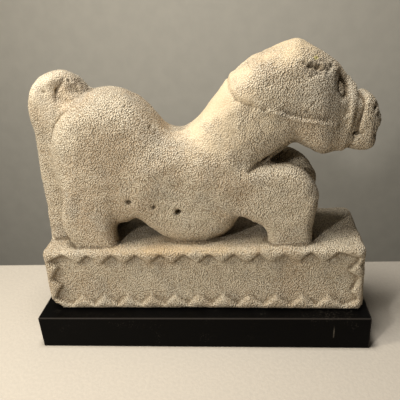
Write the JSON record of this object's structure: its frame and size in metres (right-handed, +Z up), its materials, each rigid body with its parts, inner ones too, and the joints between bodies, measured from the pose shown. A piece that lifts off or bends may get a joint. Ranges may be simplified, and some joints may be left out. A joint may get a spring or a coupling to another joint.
{
  "type": "limestone animal sculpture",
  "caption": "Carved limestone animal standing on a plinth cut from the same block, with toothed sunk panels, resting on a black display stand.",
  "frame": {"origin": "middle of the flat underside of the display stand", "axes": "+X along the length towards the animal's head, +Z up, -Y towards the side that the picture shows"},
  "size_m": [0.2535, 0.09, 0.2174],
  "materials": {
    "limestone": "weathered, granular and matt",
    "black_lacquer": "black satin lacquer"
  },
  "bodies": {
    "root": {"limestone_sculpture": "limestone", "display_stand": "black_lacquer"}
  },
  "joints": []
}
